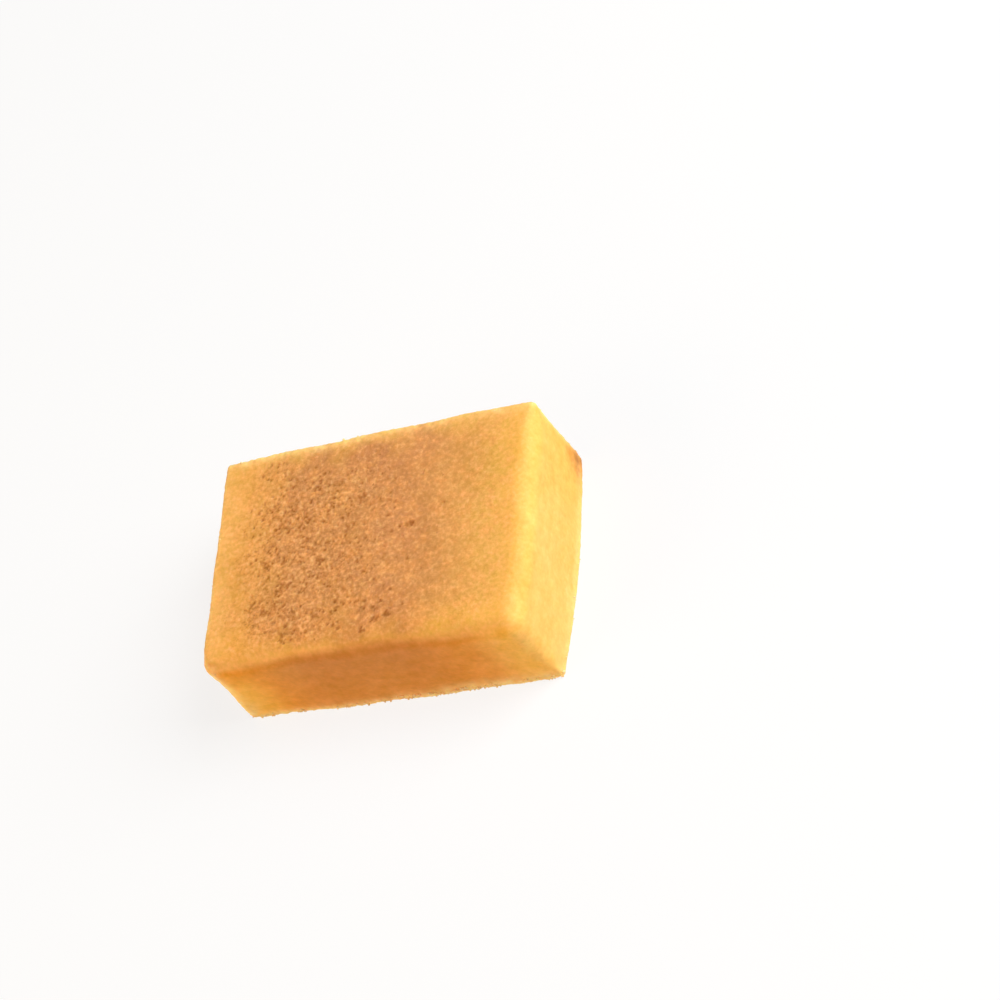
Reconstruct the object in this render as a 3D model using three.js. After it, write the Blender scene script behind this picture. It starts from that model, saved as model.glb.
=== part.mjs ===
// One piece of mysore pak: a fudge of roasted gram flour, sugar syrup and ghee that is
// poured into a pan, left to set and cut with a knife into thick oblong pieces.
//
// Millimetres, +Z up. The piece lies on its flat base with the browned face on top. Its
// length runs along X, its width along Y, and the front cut faces -Y. The origin is on
// the base, under the middle of the piece.

import * as THREE from "three";

// The piece as cut, between the middles of its sides.
const LENGTH = 56;
const WIDTH = 38.5;
const THICKNESS = 17.8;

// Edge radii. The back and left cuts meet the top in a crisp edge. At the front and the
// right the warm fudge slumped a little, so those upper edges are soft. The base stays
// sharp, as it lay in the pan. As shares of the half-size, one edge turns to the other
// over twice CRISP_TO_SOFT, PAST_CORNER beyond the back right and front left corners.
const CRISP_RADIUS = 0.8;
const SOFT_RADIUS = 3.2;
const BASE_RADIUS = 0.45;
const CRISP_TO_SOFT = 0.1;
const PAST_CORNER = 0.05;
const BASE_TO_TOP = [-0.95, 0.2]; // heights, as shares of the half, between which they grow

// Hand cuts. Over half the length of a side its cut runs out by skew, and over half its
// height it leans out towards the top by lean. Its middle bulges out by bulge, and there
// the cut leans by tip more than at its ends. The waves in it start at phase.
const CUTS = {
  right: { skew: 0.3, lean: 0.05, bulge: 0.8, tip: -0.25, phase: 0.4 },
  left: { skew: 0.1, lean: -0.3, bulge: 0, tip: 0, phase: 1.9 },
  front: { skew: 0.45, lean: 0.2, bulge: -0.35, tip: -0.75, phase: 2.6 },
  back: { skew: 0.65, lean: 0.7, bulge: 0.1, tip: 0, phase: 4.1 },
};

// The slumped upper corner at the front right: how far it draws in and sinks, and how
// far along the sides it reaches.
const SLUMP_IN = 0.3;
const SLUMP_DOWN = 0.8;
const SLUMP_REACH = 9;

// The top, as it set: a low crown, and the right end a little thinner than the left.
const CROWN = 0.35;
const END_FALL = 0.15;
const TOP_PHASE = 5.2;

// Slow waves left in every face by setting and cutting, longer one way than the other.
const WAVE_HEIGHT = 0.1;
const WAVE_LENGTH = 17;
const CROSS_LENGTH = 24;

// Grid steps along the length, the width and the thickness.
const STEPS = [24, 18, 10];

const { clamp, lerp, smoothstep } = THREE.MathUtils;

// Grid lines of a flat face, moved towards its two ends so that they share out the turn
// of the rounded edges.
function gatherToEnds(share) {
  return Math.sin((share * Math.PI) / 2);
}

// The edge radius at a point given as shares of the half-sizes, from -1 to 1.
function edgeRadius(u, v, w) {
  const towardsSoft = (u - v) / 2 - (PAST_CORNER * (u + v)) / 2;
  const softness = smoothstep(towardsSoft, -CRISP_TO_SOFT, CRISP_TO_SOFT);
  const upper = lerp(CRISP_RADIUS, SOFT_RADIUS, softness);
  return lerp(BASE_RADIUS, upper, smoothstep(w, ...BASE_TO_TOP));
}

// Moves a point of the plain block's surface onto the block with rounded edges.
function roundEdges(point, half) {
  const radius = edgeRadius(point.x / half.x, point.y / half.y, point.z / half.z);
  const core = point.clone();
  core.clamp(
    half.clone().negate().addScalar(radius),
    half.clone().subScalar(radius),
  );
  return point.sub(core).setLength(radius).add(core);
}

// A slow wave over a face, at two coordinates in millimetres.
function wave(a, b, phase) {
  const along = Math.sin((2 * Math.PI * a) / WAVE_LENGTH + phase);
  const across = Math.cos((2 * Math.PI * b) / CROSS_LENGTH + 2 * phase);
  return WAVE_HEIGHT * along * across;
}

// How far a cut stands out of its plain side, at shares along it and up it, and at the
// same place in millimetres.
function cutStandsOut({ skew, lean, bulge, tip, phase }, along, up, a, b) {
  const middle = (bulge + tip * up) * (1 - along * along);
  return skew * along + lean * up + middle + wave(a, b, phase);
}

// How strongly the slump acts at a point, 1 at the upper front right corner.
function slump(point, half) {
  const along = half.x - point.x;
  const across = half.y + point.y;
  const away = Math.hypot(along, across, half.z - point.z) / SLUMP_REACH;
  return Math.exp(-away * away);
}

// Turns the rounded plain block into the hand-cut piece, standing on z = 0.
function cutByHand(point, half) {
  const { x, y, z } = point;
  const u = clamp(x / half.x, -1, 1);
  const v = clamp(y / half.y, -1, 1);
  const w = clamp(z / half.z, -1, 1);
  const sunk = slump(point, half);
  const right = cutStandsOut(CUTS.right, v, w, y, z);
  const left = cutStandsOut(CUTS.left, v, w, y, z);
  const front = cutStandsOut(CUTS.front, u, w, x, z);
  const back = cutStandsOut(CUTS.back, u, w, x, z);
  const crown = CROWN * (1 - u * u) * (1 - v * v) - END_FALL * u;
  const top = crown + wave(x, y, TOP_PHASE) - SLUMP_DOWN * sunk;
  const height = (w + 1) / 2;
  return new THREE.Vector3(
    x + lerp(-left, right, (u + 1) / 2),
    y + lerp(-front, back, (v + 1) / 2) + SLUMP_IN * sunk,
    z + half.z + top * height,
  );
}

// The whole piece: a gridded block, rounded, cut and centred over the origin.
function makePiece() {
  const geometry = new THREE.BoxGeometry(2, 2, 2, ...STEPS);
  const half = new THREE.Vector3(LENGTH, WIDTH, THICKNESS).divideScalar(2);
  const place = geometry.getAttribute("position");
  for (let i = 0; i < place.count; i += 1) {
    const share = new THREE.Vector3().fromBufferAttribute(place, i);
    const grid = new THREE.Vector3(...share.toArray().map(gatherToEnds));
    const point = cutByHand(roundEdges(grid.multiply(half), half), half);
    place.setXYZ(i, point.x, point.y, point.z);
  }
  geometry.computeBoundingBox();
  const middle = geometry.boundingBox.getCenter(new THREE.Vector3());
  geometry.translate(-middle.x, -middle.y, -geometry.boundingBox.min.z);
  geometry.computeVertexNormals();
  return geometry;
}

const fudge = new THREE.MeshStandardMaterial({
  color: 0xeaaa5c,
  roughness: 0.55,
  metalness: 0,
});

const piece = new THREE.Mesh(makePiece(), fudge);
piece.name = "mysore_pak";

const model = new THREE.Group();
model.add(piece);

export default model;
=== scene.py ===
import math

import bmesh
import bpy
import numpy as np
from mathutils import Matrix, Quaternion, Vector, kdtree, noise


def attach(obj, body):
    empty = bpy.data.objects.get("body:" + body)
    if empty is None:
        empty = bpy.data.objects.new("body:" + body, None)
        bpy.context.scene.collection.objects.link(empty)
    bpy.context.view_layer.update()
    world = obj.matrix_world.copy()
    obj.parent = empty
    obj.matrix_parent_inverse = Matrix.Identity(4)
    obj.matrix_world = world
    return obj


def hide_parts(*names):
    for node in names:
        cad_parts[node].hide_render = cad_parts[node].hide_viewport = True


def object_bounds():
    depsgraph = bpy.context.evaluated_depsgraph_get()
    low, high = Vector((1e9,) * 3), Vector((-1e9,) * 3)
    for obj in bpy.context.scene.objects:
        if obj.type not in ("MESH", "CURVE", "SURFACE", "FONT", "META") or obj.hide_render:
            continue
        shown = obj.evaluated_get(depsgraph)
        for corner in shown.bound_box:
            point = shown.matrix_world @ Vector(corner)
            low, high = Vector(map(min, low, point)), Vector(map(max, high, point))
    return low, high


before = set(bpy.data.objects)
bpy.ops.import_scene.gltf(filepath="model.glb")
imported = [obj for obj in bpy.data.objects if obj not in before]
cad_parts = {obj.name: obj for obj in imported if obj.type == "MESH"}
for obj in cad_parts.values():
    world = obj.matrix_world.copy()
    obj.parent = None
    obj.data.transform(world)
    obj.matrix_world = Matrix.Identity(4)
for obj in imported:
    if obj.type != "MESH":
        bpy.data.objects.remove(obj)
cad_low, cad_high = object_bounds()

# ------------------------------------------------------------------------------------
# The piece of mysore pak. Gram flour, sugar syrup and hot ghee are cooked to a foam and
# poured into a pan, where the slab browns and keeps the pores of the foam. It is cut with
# a knife while warm, so its sides are smooth and crumble along their edges.
# ------------------------------------------------------------------------------------
MM = 0.001

# The block as cut, in millimetres, between the middles of its sides.
LENGTH = 56
WIDTH = 38.5
THICKNESS = 17.8
HALF = np.array([LENGTH, WIDTH, THICKNESS]) / 2

# Edge radii. The back and left cuts meet the top in a crisp edge, and the warm fudge
# slumped at the front and the right. The base stays sharp.
CRISP_RADIUS = 0.8
SOFT_RADIUS = 3.2
BASE_RADIUS = 0.45
CRISP_TO_SOFT = 0.1
PAST_CORNER = 0.05
BASE_TO_TOP = (-0.95, 0.2)

# Hand cuts: each runs out by skew, leans out by lean towards the top, bulges in its
# middle by bulge and leans there by tip more than at its ends. Its waves start at phase.
CUTS = {
    "right": dict(skew=0.3, lean=0.05, bulge=0.8, tip=-0.25, phase=0.4),
    "left": dict(skew=0.1, lean=-0.3, bulge=0.0, tip=0.0, phase=1.9),
    "front": dict(skew=0.45, lean=0.2, bulge=-0.35, tip=-0.75, phase=2.6),
    "back": dict(skew=0.65, lean=0.7, bulge=0.1, tip=0.0, phase=4.1),
}
SLUMP_IN = 0.3
SLUMP_DOWN = 0.8
SLUMP_REACH = 9
CROWN = 0.35
END_FALL = 0.15
TOP_PHASE = 5.2
WAVE_HEIGHT = 0.1
WAVE_LENGTH = 17
CROSS_LENGTH = 24

# The mesh: its step on the top and round the sides, its rows up the sides, how far both
# gather towards the edges, and how far in from the edge of the flat base its rings lie.
STEP = 0.19
SIDE_ROWS = 34
TOP_GATHER = 0.2
SIDE_GATHER = 0.6
BASE_INSETS = (2.2, 1.0, 0.45, 0.2)


def blend_in(value, start, end):
    """0 before start, 1 after end and a smooth step between them."""
    share = np.clip((value - start) / (end - start), 0, 1)
    return share * share * (3 - 2 * share)


def between(a, b, share):
    return a + (b - a) * share


def near(distance, reach):
    """1 where the distance is 0, fading out over the reach."""
    return np.exp(-(distance / reach) ** 2)


def gather_to_ends(share, amount):
    """Moves grid lines towards both ends of -1 to 1, where the edges turn."""
    return between(share, np.sin(share * math.pi / 2), amount)


def edge_radius(shares):
    """The edge radius at points given as shares of the half-sizes."""
    u, v, w = shares.T
    towards_soft = (u - v) / 2 - PAST_CORNER * (u + v) / 2
    softness = blend_in(towards_soft, -CRISP_TO_SOFT, CRISP_TO_SOFT)
    upper = between(CRISP_RADIUS, SOFT_RADIUS, softness)
    return between(BASE_RADIUS, upper, blend_in(w, *BASE_TO_TOP))


def round_edges(points):
    """Moves points of the plain block onto the block with rounded edges."""
    radius = edge_radius(points / HALF)[:, None]
    core = np.clip(points, radius - HALF, HALF - radius)
    out = points - core
    return core + out / np.linalg.norm(out, axis=1, keepdims=True) * radius


def wave(a, b, phase):
    """A slow wave over a face, left by setting and cutting."""
    along = np.sin(2 * math.pi * a / WAVE_LENGTH + phase)
    across = np.cos(2 * math.pi * b / CROSS_LENGTH + 2 * phase)
    return WAVE_HEIGHT * along * across


def cut_stands_out(side, along, up, a, b):
    """How far a cut stands out of its plain side, at shares along it and up it."""
    cut = CUTS[side]
    middle = (cut["bulge"] + cut["tip"] * up) * (1 - along * along)
    return cut["skew"] * along + cut["lean"] * up + middle + wave(a, b, cut["phase"])


def cut_by_hand(points):
    """Turns the rounded plain block into the hand-cut piece, standing on z = 0."""
    x, y, z = points.T
    u, v, w = np.clip(points / HALF, -1, 1).T
    corner = HALF * (1, -1, 1)
    sunk = near(np.linalg.norm(corner - points, axis=1), SLUMP_REACH)
    right = cut_stands_out("right", v, w, y, z)
    left = cut_stands_out("left", v, w, y, z)
    front = cut_stands_out("front", u, w, x, z)
    back = cut_stands_out("back", u, w, x, z)
    crown = CROWN * (1 - u * u) * (1 - v * v) - END_FALL * u
    top = crown + wave(x, y, TOP_PHASE) - SLUMP_DOWN * sunk
    return np.stack([
        x + between(-left, right, (u + 1) / 2),
        y + between(-front, back, (v + 1) / 2) + SLUMP_IN * sunk,
        z + HALF[2] + top * (w + 1) / 2,
    ], axis=1)


def walk_round(columns, rows):
    """Grid places round a rectangle's edge, anticlockwise from the front left corner."""
    i = [*range(columns), *[columns] * rows, *range(columns, 0, -1), *[0] * rows]
    j = [*[0] * columns, *range(rows), *[rows] * columns, *range(rows, 0, -1)]
    return np.array(i), np.array(j)


def block_grid():
    """The plain block's surface: its points, and its faces as lists of point numbers."""
    columns, rows = round(LENGTH / STEP), round(WIDTH / STEP)
    across = gather_to_ends(np.linspace(-1, 1, columns + 1), TOP_GATHER)
    along = gather_to_ends(np.linspace(-1, 1, rows + 1), TOP_GATHER)
    up = gather_to_ends(np.linspace(-1, 1, SIDE_ROWS + 1), SIDE_GATHER)
    i, j = walk_round(columns, rows)
    count = len(i)
    edge = np.stack([across[i], along[j]], axis=1)
    rings = [np.c_[edge * (1 - inset / HALF[:2]), np.full(count, -1.0)] for inset in BASE_INSETS]
    rings += [np.c_[edge, np.full(count, height)] for height in up]
    inside = np.stack(np.meshgrid(across[1:-1], along[1:-1], indexing="ij"), axis=-1).reshape(-1, 2)
    points = np.concatenate([*rings, np.c_[inside, np.ones(len(inside))]]) * HALF

    rim = (len(rings) - 1) * count
    low = np.arange(rim)
    after = low + 1 - count * ((low + 1) % count == 0)
    walls = np.stack([low, after, after + count, low + count], axis=1)
    number = np.zeros((columns + 1, rows + 1), int)
    number[i, j] = rim + np.arange(count)
    number[1:-1, 1:-1] = rim + count + np.arange(len(inside)).reshape(columns - 1, rows - 1)
    squares = [number[:-1, :-1], number[1:, :-1], number[1:, 1:], number[:-1, 1:]]
    top = np.stack(squares, axis=-1).reshape(-1, 4)
    return points, [range(count)[::-1], *walls.tolist(), *top.tolist()]


def make_mesh(name, points, faces):
    mesh = bpy.data.meshes.new(name)
    mesh.from_pydata(points, [], faces)
    mesh.shade_smooth()
    return mesh


def read_normals(mesh):
    normals = np.zeros(len(mesh.vertices) * 3)
    mesh.vertex_normals.foreach_get("vector", normals)
    return normals.reshape(-1, 3)


def lumps(points, size, octaves, start=0.0, fading=1.0):
    """Fractal noise at each point, about -1 to 1, its largest lumps size mm across. Each
    start gives another pattern."""
    places = points / size + start
    return np.array([noise.fractal(Vector(p), fading, 2.0, octaves) for p in places])


def make_tree(points):
    """A search tree that finds the points near a place."""
    tree = kdtree.KDTree(len(points))
    for number, point in enumerate(points):
        tree.insert(point, number)
    tree.balance()
    return tree


# A pore's radius goes up and down by this share round its edge, in notches of this many
# radii, and reaches at most this many radii out.
PORE_RAGGEDNESS = 0.9
PORE_NOTCH = 0.8
PORE_REACH = 1.8


def dig_pores(tree, count, middles, radii, depths, shades):
    """How deep each of the tree's points lies in ragged pores, and how dark their painted shade is
    there.
    """
    deep = np.zeros(count)
    dark = np.zeros(count)
    for middle, radius, depth, shade in zip(middles, radii, depths, shades):
        for point, number, away in tree.find_range(middle, PORE_REACH * radius):
            notch = noise.noise(Vector(point) / (PORE_NOTCH * radius))
            share = away / (radius * (1 + PORE_RAGGEDNESS * notch))
            if share < 1:
                deep[number] = max(deep[number], depth * (1 - share * share))
                dark[number] = max(dark[number], shade * (1 - share * share))
    return deep, dark


SEED = 1907
random = np.random.default_rng(SEED)

# The smooth block, fitted to the box of the CAD part, and the way each point of it faces.
plain, faces = block_grid()
smooth = cut_by_hand(round_edges(plain))
floor_level = cad_low[2] / MM
cad_size = np.array(cad_high - cad_low) / MM
smooth -= smooth.min(axis=0)
smooth *= cad_size / smooth.max(axis=0)
smooth += np.array(cad_low) / MM
normals = read_normals(make_mesh("smooth_block", smooth, faces))
nx, ny, nz = normals.T
facing_up = blend_in(nz, 0.55, 0.92)
facing_down = blend_in(-nz, 0.5, 0.9)
on_side = (1 - facing_up) * (1 - facing_down)
towards_right = np.clip(nx, 0, 1)

# How far each point is from the plain block's edges, along its own face.
px, py, pz = plain.T
to_side = np.minimum(HALF[0] - abs(px), HALF[1] - abs(py))
from_base_edge = pz + HALF[2] + to_side
from_back_rim = HALF[2] - pz + HALF[1] - py
from_left_rim = HALF[2] - pz + HALF[0] + px
from_back_right = HALF[0] - px + HALF[1] - py
from_front_left = HALF[0] + px + HALF[1] + py
from_dark_corner = np.linalg.norm(plain - HALF * (1, 1, -1), axis=1)

# From here on, a border is a pair of places in millimetres, or of shares of a normal, and
# the blend from one side to the other lies between them. On the top the borders wander, so
# they are measured at places that are shifted about, on lumps this wide and by this much.
CLOUD_SIZE = 8.0
SHIFT_SIZE = 6.0
SHIFT_ALONG = 4.0
SHIFT_ACROSS = 3.0
cloud = lumps(smooth, CLOUD_SIZE, 3, 3.7)
wx = px + SHIFT_ALONG * cloud
wy = py + SHIFT_ACROSS * lumps(smooth, SHIFT_SIZE, 3, 9.1)

# Where the top set coarse: most in its left half, less in the middle and at its edges,
# and least at the right end.
COARSE_LEFT = (-27, -17)
COARSE_MIDDLE = (-10, 14)
COARSE_RIGHT = (19, 26)
COARSE_FRONT = (-20, -12)
COARSE_BACK = (8, 18)
coarse = blend_in(wx, *COARSE_LEFT) * (1 - 0.75 * blend_in(wx, *COARSE_MIDDLE))
coarse *= blend_in(wy, *COARSE_FRONT) * (1 - 0.6 * blend_in(wy, *COARSE_BACK))
coarse = (0.24 + 0.76 * coarse) * (1 - 0.5 * blend_in(px, *COARSE_RIGHT))
coarse = np.clip(coarse * (1 + 0.3 * cloud), 0, 1) * facing_up

# How far it browned: most in the middle, fading slowly to the left and right margins and
# faster to the front and back. For a stretch of the front edge it browned right over it.
BROWNED_LEFT = (-31, -14)
BROWNED_RIGHT = (4, 30)
BROWNED_FRONT = (-20.5, -12)
BROWNED_BACK = (14, 23)
OVER_EDGE_MIDDLE = 1
OVER_EDGE_REACH = 7
OVER_EDGE_DEPTH = 3
over_edge = near(px - OVER_EDGE_MIDDLE, OVER_EDGE_REACH)
browned = blend_in(wx, *BROWNED_LEFT) * (1 - blend_in(wx, *BROWNED_RIGHT))
browned *= blend_in(wy + OVER_EDGE_DEPTH * over_edge, *BROWNED_FRONT)
browned *= 1 - blend_in(wy, *BROWNED_BACK)
browned = np.clip(browned * (1 + 0.25 * cloud), 0, 1) * facing_up

# Where the knife left the edges crumbly: along the base, down two corners and along the
# back and left rims of the top. Each tear fades out over its width. The one along the base
# is wider towards the right, but weak on the right cut. The pale colour they are given
# below is partly painted light: a glow where light shines through the thin edges and
# catches the rims.
BASE_TEAR = 1.2
BASE_TEAR_WIDENS = 0.8
BACK_TEAR = 1.5
LEFT_TEAR = 0.9
BACK_RIGHT_TEAR = 0.8
FRONT_LEFT_TEAR = 1.8
RAGGED_SIZE = 1.6
ragged = 1 + 0.6 * lumps(smooth, RAGGED_SIZE, 2, 7.7)
torn = near(from_base_edge, BASE_TEAR + BASE_TEAR_WIDENS * blend_in(px, -4, 12))
torn *= 1 - 0.5 * blend_in(nx, 0.3, 0.8)
torn = np.maximum(torn, near(from_back_rim, BACK_TEAR) * (1 - 0.3 * blend_in(px, -12, 6)))
torn = np.maximum(torn, near(from_left_rim, LEFT_TEAR) * 0.7)
torn = np.maximum(torn, near(from_back_right, BACK_RIGHT_TEAR))
torn = np.maximum(torn, near(from_front_left, FRONT_LEFT_TEAR) * 0.9)
torn = np.clip(torn * ragged, 0, 1) * (1 - facing_down)

# The back right corner is darker and browner, most of all at its foot, and the back right
# edge is darker low down, fading towards the top.
DARK_CORNER_REACH = 4.6
UP_CORNER_REACH = 1.0
dark_corner = 1.2 * near(from_dark_corner, DARK_CORNER_REACH)
up_corner = 0.7 * near(from_back_right, UP_CORNER_REACH) * blend_in(-pz, -6, 6)
dark_corner = np.clip(np.maximum(dark_corner, up_corner) * ragged, 0, 1) * on_side
coarse = np.maximum(coarse, dark_corner)

# The front cut, which faces away from the lamps, is painted a deeper orange: painted warm
# shade. It spreads faintly over the front of the top. Round the dark corner at the back
# right the cut is orange too.
ORANGE_RIGHT = (12, 31)
ORANGE_ON_TOP = (10, 17)
ORANGE_ROUND_DARK_CORNER = 13
orange = blend_in(-ny, 0.82, 1.0) * (1 - blend_in(px, *ORANGE_RIGHT))
orange = np.maximum(orange, 0.6 * near(from_dark_corner, ORANGE_ROUND_DARK_CORNER) * on_side)
orange = np.maximum(orange, 0.12 * blend_in(-py, *ORANGE_ON_TOP) * facing_up)

# The middle of the front cut is browner, most of all near the top: painted shade, deepest
# under the top edge and lighter towards the table. The dark corner is browner too, and at
# its back the right cut is a little browner.
BROWN_LEFT = (-25, -10)
BROWN_RIGHT = (5, 25)
BROWN_ROUND_DARK_CORNER = 8
RIGHT_CUT_BACK = (4, 16)
right_cut_back = towards_right ** 2 * blend_in(py, *RIGHT_CUT_BACK)
brown = blend_in(-ny, 0.7 - 0.3 * over_edge, 1.0)
brown *= blend_in(px, *BROWN_LEFT) * (1 - blend_in(px, *BROWN_RIGHT))
brown *= 0.84 - 0.3 * blend_in(pz, HALF[2], -HALF[2])
brown = np.maximum(brown, dark_corner)
brown = np.maximum(brown, 0.35 * near(from_dark_corner, BROWN_ROUND_DARK_CORNER) * on_side)
brown = np.maximum(brown, 0.12 * right_cut_back)

# The ends of the front cut are golden, the left one only below the top edge: painted light,
# on the right end beside the lit right cut and on the left end from the lamp at the left.
GOLDEN_LEFT = (17, 27)
GOLDEN_BELOW = (-9, 1)
GOLDEN_RIGHT = (18, 26)
golden_left = 0.9 * blend_in(-px, *GOLDEN_LEFT) * blend_in(-pz, *GOLDEN_BELOW)
golden_right = 0.8 * blend_in(px, *GOLDEN_RIGHT)
golden = blend_in(-ny, 0.5, 0.9) * np.maximum(golden_left, golden_right)
golden = np.maximum(golden, 0.25 * right_cut_back)

# The cuts other than the front one are paler. Palest is the ridge where the right cut meets
# the top and the front cut: a painted highlight of the lamp at the right. The right end of
# the top next to it is pale too.
PALE_END = (21, 28)
ridge = np.clip(2 * towards_right * np.maximum(nz, -ny), 0, 1)
ridge = np.maximum(ridge, 0.3 * on_side * (1 - blend_in(-ny, 0.3, 0.8)))
ridge = np.maximum(ridge, 0.6 * blend_in(px, *PALE_END) * facing_up)

# Relief, in millimetres along the surface's normal. First come slow unevenness, the grain
# and the bumps of the coarse parts, the drag marks of the knife on the cuts, which run
# nearly level, and crumbs along the torn edges: each has its height and its width.
SLOW = 0.05
SLOW_SIZE = 6.0
GRAIN = 0.045
GRAIN_SIZE = 1.1
ROUGH = 0.07
ROUGH_SIZE = 2.2
DRAG = 0.02
DRAG_SIZE = 0.9
LEVEL = (0.06, 0.06, 1)
CRUMBLY = 0.13
CRUMBLY_SIZE = 0.8
relief = SLOW * lumps(smooth, SLOW_SIZE, 2, 11.3)
relief += GRAIN * coarse * lumps(smooth, GRAIN_SIZE, 3, 5.1, fading=0.5)
relief += ROUGH * (0.2 + 0.8 * coarse) * facing_up * lumps(smooth, ROUGH_SIZE, 2, 1.9)
relief += DRAG * on_side * lumps(smooth * LEVEL, DRAG_SIZE, 2, 8.9)
relief += CRUMBLY * torn * lumps(smooth, CRUMBLY_SIZE, 2, 2.3)

# Then a low foot where the fudge was squeezed out between the knife and the pan, and the
# front left edge, which the knife dragged out a little at half its height.
FOOT = 0.1
FOOT_REACH = 0.8
FULL_CORNER = 0.42
FULL_CORNER_REACH = 2.5
full_corner = near(from_front_left, FULL_CORNER_REACH) * (1 - (pz / HALF[2]) ** 2) * on_side
relief += FOOT * near(from_base_edge, FOOT_REACH) * ragged
relief += FULL_CORNER * full_corner

# Pores of the foam. They are small and crowd together in the coarse parts: a spot gets one
# the more likely the coarser it is beyond PORES_FROM. A few groups of larger ones are given
# by their middle and their spread. Shades say how dark they are: painted shade in their
# hollows, with some browning.
PORE_TRIES = 6500
PORES_FROM = 0.36
PORE_CROWD_SIZE = 2.6
PORE_RADII = (0.17, 0.34)
FEW_LARGER = 0.2
PORE_SHADES = (0.15, 0.8)
PORE_DEPTHS = (0.3, 0.6)  # as shares of their radii
PORE_GROUPS = [
    (-11.2, 5.2, 0.4), (-17.3, 0.8, 0.4), (-17.4, -2.4, 0.4), (-14.5, -6.8, 0.8),
    (-7.8, -2.9, 0.3), (-4.5, -12.2, 0.7), (-13.5, -15.8, 0.6), (0.5, -16.0, 0.25),
    (3.0, -14.8, 0.3), (5.0, -14.0, 0.3), (7.8, 1.2, 0.3), (3.5, 5.5, 0.9),
]
PORES_PER_GROUP = 9
GROUP_RADII = (0.24, 0.42)
GROUP_SHADES = (0.5, 0.9)
spots = np.c_[
    random.uniform(-HALF[0], HALF[0], PORE_TRIES),
    random.uniform(-HALF[1], HALF[1], PORE_TRIES),
    np.full(PORE_TRIES, cad_size[2]),
]
luck = random.uniform(0, 1, PORE_TRIES)
tree = make_tree(smooth)
middles = []
for spot, chance in zip(spots, luck):
    number = tree.find(spot)[1]
    crowded = 0.45 + 1.3 * noise.noise(Vector(spot) / PORE_CROWD_SIZE)
    if chance < 2.5 * max(0, coarse[number] - PORES_FROM) ** 2 * crowded:
        middles.append(smooth[number])
radii = random.uniform(*PORE_RADII, len(middles))
radii += FEW_LARGER * random.uniform(0, 1, len(middles)) ** 8
shades = random.uniform(*PORE_SHADES, len(middles))
for x, y, spread in PORE_GROUPS:
    for dx, dy in random.normal(0, spread, (PORES_PER_GROUP, 2)):
        middles.append(tree.find((x + dx, y + dy, cad_size[2]))[0])
        radii = np.append(radii, random.uniform(*GROUP_RADII))
        shades = np.append(shades, random.uniform(*GROUP_SHADES))
depths = radii * random.uniform(*PORE_DEPTHS, len(middles))
pore_depth, pore = dig_pores(tree, len(smooth), middles, radii, depths, shades)
relief -= pore_depth * facing_up

surface = smooth + normals * (relief * (1 - facing_down))[:, None]
surface[:, 2] = np.maximum(surface[:, 2], floor_level)

block = bpy.data.objects.new("fudge_block", make_mesh("fudge_block", surface * MM, faces))
bpy.context.scene.collection.objects.link(block)

# Shares from 0 to 1 at each point of the mesh, for its material to read. The margin at the
# top's left end is half as open as a cut, and at its very end it is a little pale: painted
# light along that edge.
OPEN_MARGIN = (12, 24)
PALE_MARGIN = (22, 28)
pale_margin = 0.25 * blend_in(-px, *PALE_MARGIN) * facing_up
shares = {
    "opened": np.maximum(1 - facing_up, 0.5 * blend_in(-px, *OPEN_MARGIN)),
    "orange": orange,
    "brown": brown,
    "golden": golden,
    "ridge": 0.8 * ridge,
    "browned": browned * (1 - 0.15 * coarse ** 2),
    "specky": 0.55 * coarse ** 1.5,
    "grainy": (0.25 + 0.52 * coarse) * facing_up,
    "pore": np.maximum(pore * facing_up, 0.8 * dark_corner),
    # Torn edges, partly painted light, and a painted glow at the top's left end.
    "pale": np.maximum(0.9 * torn * (1 - 0.7 * dark_corner), pale_margin),
    "rough": np.maximum(coarse, torn),
}
for name, values in shares.items():
    layer = block.data.attributes.new(name, "FLOAT", "POINT")
    layer.data.foreach_set("value", values.astype(np.float32))


def linear(hex_colour):
    """An sRGB colour as hex digits, turned to the linear values that shaders take."""
    parts = [int(hex_colour[k:k + 2], 16) / 255 for k in (0, 2, 4)]
    return (*[p / 12.92 if p <= 0.04045 else ((p + 0.055) / 1.055) ** 2.4 for p in parts], 1)


def add_node(material, kind, settings=None, **inputs):
    """Adds a node. An input is a number, a colour or the output of another node. It goes
    by its name or, as in _6, by its number."""
    tree = material.node_tree
    node = tree.nodes.new(kind)
    for name, value in (settings or {}).items():
        setattr(node, name, value)
    for name, value in inputs.items():
        key = int(name[1:]) if name[1:].isdigit() else name.replace("_", " ")
        if isinstance(value, bpy.types.NodeSocket):
            tree.links.new(value, node.inputs[key])
        else:
            node.inputs[key].default_value = value
    return node


# Set ghee fudge: dense, fine-grained and a little translucent, with a thin film of ghee.
# It gives a warm golden yellow that glows at the edges, with a soft and broad sheen.
SET_SKIN = "E8B356"
BROWNED_SKIN = "CB8B5A"
CUT_FACE = "F0AB57"
# ORANGE_CUT and BROWN_CUT paint warm shade on the front cut.
ORANGE_CUT = "ED930F"
BROWN_CUT = "C87C32"
# Painted light on the ends of the front cut.
GOLDEN_END = "FDBA44"
# A painted highlight on the ridge, and paler on the other cuts.
PALE_AND_HIGHLIGHT = "FCC062"
# Painted shade in the pores and specks, with some browning.
PORE_SHADE = "945014"
PALE_GRAIN = "F2BA76"
MOTTLE = "DC9650"
# Pale torn edges, partly painted light glowing on them.
TORN_EDGE_AND_GLOW = "FFD586"

# Sizes in millimetres: the grains of flour and sugar, the mottling of the skin, the
# cloudiness of the slab, and the drag marks of the knife, which are long and low.
GRAIN_WIDTH = 0.65
MOTTLE_WIDTH = 1.9
CLOUD_WIDTH = 6.0
MARK_LENGTH = 15.0
MARK_HEIGHT = 1.8

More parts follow.
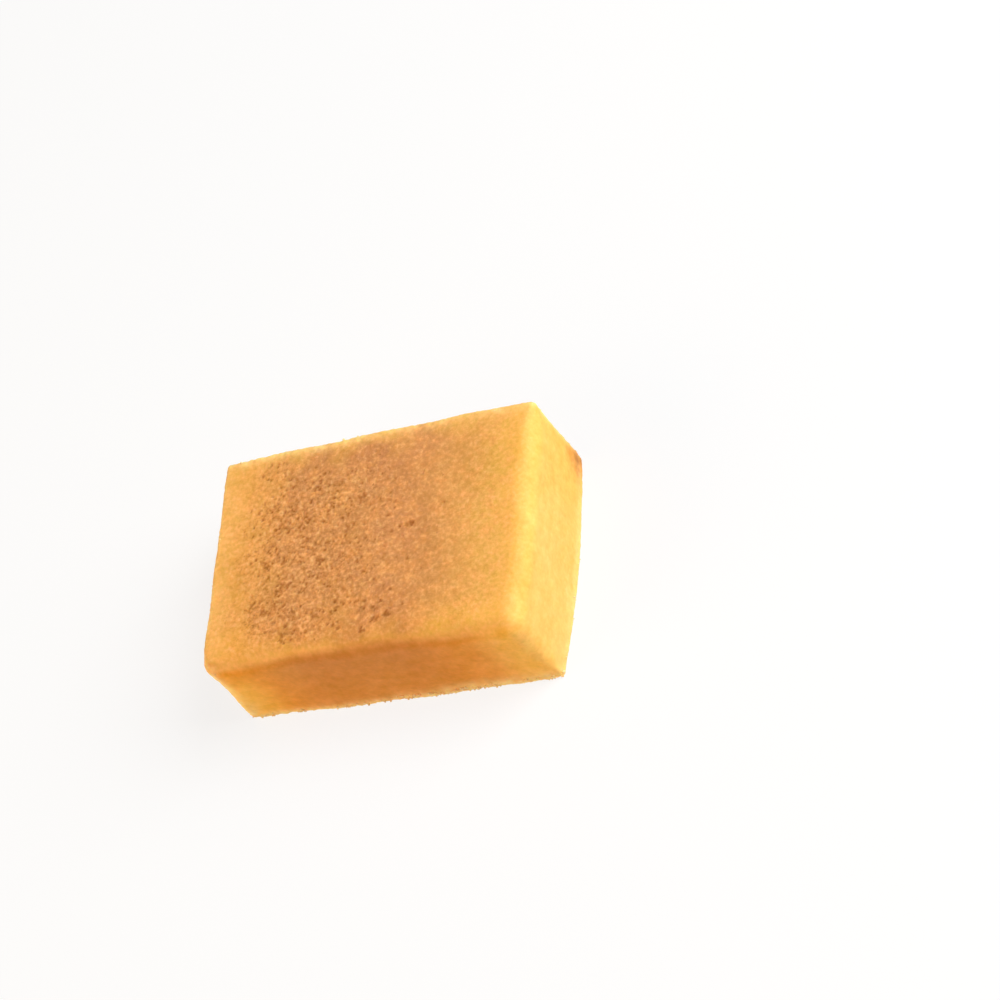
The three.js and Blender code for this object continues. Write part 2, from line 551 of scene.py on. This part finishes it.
fudge = bpy.data.materials.new("set_ghee_fudge")
fudge.use_nodes = True
fudge.node_tree.nodes.clear()

place = add_node(fudge, "ShaderNodeTexCoord").outputs["Object"]
share = {}
for name in shares:
    share[name] = add_node(fudge, "ShaderNodeAttribute", {"attribute_name": name}).outputs["Fac"]

# Noise patterns by the size of their largest lumps, and the marks, stretched to be long
# and low.
widths = {"grain": GRAIN_WIDTH, "mottle": MOTTLE_WIDTH, "clouds": CLOUD_WIDTH}
pattern = {}
for name, width in widths.items():
    pattern[name] = add_node(
        fudge, "ShaderNodeTexNoise",
        Vector=place, Scale=1 / (width * MM), Detail=3.0, Roughness=0.6,
    ).outputs["Fac"]
mark_scale = [1 / (size * MM) for size in (MARK_LENGTH, MARK_LENGTH, MARK_HEIGHT)]
mark_place = add_node(fudge, "ShaderNodeMapping", Vector=place, Scale=mark_scale).outputs["Vector"]
pattern["marks"] = add_node(
    fudge, "ShaderNodeTexNoise", Vector=mark_place, Scale=1.0, Detail=3.0,
).outputs["Fac"]

# Dark specks, pale grains and mottling: each shows where its pattern goes from its first
# value to its second, and at most by the share given. The dark specks take the pores' colour:
# painted shade of tiny pores, with some browning.
flecks = {
    "specks": ("grain", 0.48, 0.26, share["specky"]),
    "grains": ("grain", 0.5, 0.75, share["grainy"]),
    "mottling": ("mottle", 0.42, 0.7, 0.6),
}
for name, (source, begin, full, most) in flecks.items():
    share[name] = add_node(
        fudge, "ShaderNodeMapRange",
        Value=pattern[source], From_Min=begin, From_Max=full, To_Max=most,
    ).outputs["Result"]

# The colours lie over each other in this order.
colour = linear(SET_SKIN)
layers = [
    ("browned", BROWNED_SKIN), ("mottling", MOTTLE), ("opened", CUT_FACE), ("orange", ORANGE_CUT),
    ("brown", BROWN_CUT), ("golden", GOLDEN_END), ("ridge", PALE_AND_HIGHLIGHT), ("specks", PORE_SHADE),
    ("grains", PALE_GRAIN), ("pore", PORE_SHADE), ("pale", TORN_EDGE_AND_GLOW),
]
for name, tint in layers:
    colour = add_node(
        fudge, "ShaderNodeMix", {"data_type": "RGBA"}, _0=share[name], _6=colour, _7=linear(tint),
    ).outputs[2]

# Each pattern also makes the colour lighter and darker by a few hundredths. What is darker
# is a little fuller in colour.
brightness = 1.0
for name, swing in {"grain": 0.06, "mottle": 0.08, "clouds": 0.04, "marks": 0.03}.items():
    change = add_node(
        fudge, "ShaderNodeMapRange",
        Value=pattern[name], From_Min=0.3, From_Max=0.7, To_Min=1 - swing, To_Max=1 + swing,
    ).outputs["Result"]
    brightness = add_node(
        fudge, "ShaderNodeMath", {"operation": "MULTIPLY"}, _0=brightness, _1=change,
    ).outputs[0]
fullness = add_node(
    fudge, "ShaderNodeMath", {"operation": "POWER"}, _0=brightness, _1=-0.2,
).outputs[0]
colour = add_node(
    fudge, "ShaderNodeHueSaturation", Saturation=fullness, Value=brightness, Color=colour,
).outputs["Color"]

shine = add_node(
    fudge, "ShaderNodeMapRange",
    Value=pattern["grain"], From_Min=0.3, From_Max=0.7, To_Min=0.45, To_Max=0.6,
).outputs["Result"]
height_share = add_node(
    fudge, "ShaderNodeMapRange", Value=share["rough"], To_Min=0.25, To_Max=1.2,
).outputs["Result"]
height = add_node(
    fudge, "ShaderNodeMath", {"operation": "MULTIPLY"}, _0=pattern["grain"], _1=height_share,
).outputs[0]
bumps = add_node(fudge, "ShaderNodeBump", Height=height, Distance=0.1 * MM, Strength=1.0)
shader = add_node(
    fudge, "ShaderNodeBsdfPrincipled",
    Base_Color=colour, Roughness=shine, Normal=bumps.outputs["Normal"],
    IOR=1.46, Specular_IOR_Level=0.13,
    Subsurface_Weight=0.5, Subsurface_Radius=(1.0, 0.45, 0.15), Subsurface_Scale=2.5 * MM,
)
add_node(fudge, "ShaderNodeOutputMaterial", Surface=shader.outputs["BSDF"])
block.data.materials.append(fudge)

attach(block, "root")
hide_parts("mysore_pak")

# ------------------------------------------------------------------------------------
# The loose crumbs. The knife breaks these dry grains of the same fudge off the cut edges,
# and they cling along the base, and a few to the corners and the rims of the top.
# ------------------------------------------------------------------------------------
CRUMB_COUNT = 420
CRUMB_RADII = (0.08, 0.24)
CRUMB_STRETCH = (0.7, 1.3)
CRUMB_LUMPINESS = 0.4
SUNK_IN = 0.7
CLUMP_SIZE = 3.0
LEAST_TORN = 0.45
BASE_BAND = 1.5

ball = bmesh.new()
bmesh.ops.create_icosphere(ball, subdivisions=2, radius=1.0)
ball_points = np.array([corner.co for corner in ball.verts])
ball_faces = np.array([[corner.index for corner in face.verts] for face in ball.faces])
ball.free()

# They gather in clumps where the edges are torn, nearly all along the base, and the right
# cut has few.
clumps = np.clip(0.4 + lumps(smooth, CLUMP_SIZE, 2, 6.3), 0, 1) * (torn > LEAST_TORN)
clumps *= 0.02 + (from_base_edge < BASE_BAND)
clumps *= 1 - 0.9 * blend_in(towards_right, 0.3, 0.8)
numbers = random.choice(len(smooth), CRUMB_COUNT, replace=False, p=clumps / clumps.sum())
crumb_points = []
crumb_faces = []
for count, number in enumerate(numbers):
    radius = between(*CRUMB_RADII, random.uniform() ** 3)
    stretch = random.uniform(*CRUMB_STRETCH, 3)
    uneven = 1 + CRUMB_LUMPINESS * lumps(ball_points, 0.9, 2, 10.0 * count)
    middle = surface[number] + normals[number] * radius * (1 - SUNK_IN)
    points = middle + radius * stretch * ball_points * uneven[:, None]
    points[:, 2] += max(0, floor_level - points[:, 2].min())
    crumb_points.append(points)
    crumb_faces.append(ball_faces + count * len(ball_points))

all_points = np.concatenate(crumb_points) * MM
all_faces = np.concatenate(crumb_faces).tolist()
crumbs = bpy.data.objects.new("crumbs", make_mesh("crumbs", all_points, all_faces))
bpy.context.scene.collection.objects.link(crumbs)

# Dry fudge crumbs, broken rough: paler than the block, matt and uneven in tone.
DRY_CRUMB = "FFE0A6"
DARK_CRUMB = "F6C47C"
CRUMB_TONE_WIDTH = 1.5

dry_crumb = bpy.data.materials.new("dry_fudge_crumb")
dry_crumb.use_nodes = True
dry_crumb.node_tree.nodes.clear()
place = add_node(dry_crumb, "ShaderNodeTexCoord").outputs["Object"]
tone = add_node(
    dry_crumb, "ShaderNodeTexNoise", Vector=place, Scale=1 / (CRUMB_TONE_WIDTH * MM), Detail=3.0,
).outputs["Fac"]
darkness = add_node(
    dry_crumb, "ShaderNodeMapRange", Value=tone, From_Min=0.35, From_Max=0.65,
).outputs["Result"]
colour = add_node(
    dry_crumb, "ShaderNodeMix", {"data_type": "RGBA"},
    _0=darkness, _6=linear(DRY_CRUMB), _7=linear(DARK_CRUMB),
).outputs[2]
bumps = add_node(dry_crumb, "ShaderNodeBump", Height=tone, Distance=0.05 * MM, Strength=1.0)
shader = add_node(
    dry_crumb, "ShaderNodeBsdfPrincipled",
    Base_Color=colour, Roughness=0.7, Normal=bumps.outputs["Normal"],
    IOR=1.46, Specular_IOR_Level=0.2,
)
add_node(dry_crumb, "ShaderNodeOutputMaterial", Surface=shader.outputs["BSDF"])
crumbs.data.materials.append(dry_crumb)

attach(crumbs, "root")

# ------------------------------------------------------------------------------------
# The table: a white light table, a sheet of opal acrylic lit evenly from below. Its glow
# keeps the shadow of the piece pale.
# ------------------------------------------------------------------------------------
TABLE_REACH = 1.6
TABLE_WHITE = "6E6E6E"
TABLE_GLOW = 0.8

bpy.ops.mesh.primitive_circle_add(vertices=96, radius=TABLE_REACH, fill_type="NGON")
table = bpy.context.object
table.name = "light_table"
opal = bpy.data.materials.new("opal_acrylic")
opal.use_nodes = True
opal.node_tree.nodes.clear()
opal_shader = add_node(
    opal, "ShaderNodeBsdfPrincipled",
    Base_Color=linear(TABLE_WHITE), Roughness=0.7,
    Emission_Color=(1, 1, 1, 1), Emission_Strength=TABLE_GLOW,
)
add_node(opal, "ShaderNodeOutputMaterial", Surface=opal_shader.outputs["BSDF"])
table.data.materials.append(opal)

# ------------------------------------------------------------------------------------
# The light: a large soft lamp beyond the right end, a little under halfway up, a weak warm
# one in front and to the left, and the pale walls of the room.
# ------------------------------------------------------------------------------------
LAMP_REACH = 0.8
LAMP_SIZE = 0.6
ROOM_BRIGHTNESS = 0.12


def add_lamp(name, towards, brightness, colour):
    """A square soft lamp in a direction from the piece, which it faces. A white surface
    that faces it shows the brightness given."""
    data = bpy.data.lights.new(name, "AREA")
    data.size = LAMP_SIZE
    data.energy = brightness * (math.pi * LAMP_REACH) ** 2
    data.color = linear(colour)[:3]
    lamp = bpy.data.objects.new(name, data)
    direction = Vector(towards).normalized()
    lamp.location = direction * LAMP_REACH
    lamp.rotation_mode = "QUATERNION"
    lamp.rotation_quaternion = direction.to_track_quat("Z", "Y")
    bpy.context.scene.collection.objects.link(lamp)


add_lamp("key_softbox", towards=(1.25, 0.4, 1.06), brightness=1.45, colour="FFFFFF")
add_lamp("left_fill", towards=(-1.0, -0.6, 0.5), brightness=0.72, colour="FFE4C2")

world = bpy.data.worlds.new("studio")
world.use_nodes = True
room = world.node_tree.nodes["Background"]
room.inputs["Color"].default_value = (1, 1, 1, 1)
room.inputs["Strength"].default_value = ROOM_BRIGHTNESS
bpy.context.scene.world = world
bpy.context.scene.view_settings.view_transform = "Standard"

# ------------------------------------------------------------------------------------
# The camera: high over the front right corner and turned on its axis, so that the top
# fills the view and the front and right cuts show.
# ------------------------------------------------------------------------------------
CAMERA_TURN = math.radians(40.8)
CAMERA_RISE = math.radians(50.3)
CAMERA_ROLL = math.radians(-43.7)
CAMERA_AIM = Vector((18.5, 8.1, 9.1)) * MM
CAMERA_REACH = 438 * MM
CAMERA_LENS = 100
CAMERA_NEAREST = 10 * MM

back_to_camera = Vector((
    math.sin(CAMERA_TURN) * math.cos(CAMERA_RISE),
    -math.cos(CAMERA_TURN) * math.cos(CAMERA_RISE),
    math.sin(CAMERA_RISE),
))
upright = back_to_camera.to_track_quat("Z", "Y")
camera = bpy.data.objects.new("camera", bpy.data.cameras.new("camera"))
camera.data.lens = CAMERA_LENS
camera.data.clip_start = CAMERA_NEAREST
camera.location = CAMERA_AIM + back_to_camera * CAMERA_REACH
camera.rotation_mode = "QUATERNION"
camera.rotation_quaternion = upright @ Quaternion((0, 0, 1), CAMERA_ROLL)
bpy.context.scene.collection.objects.link(camera)
bpy.context.scene.camera = camera
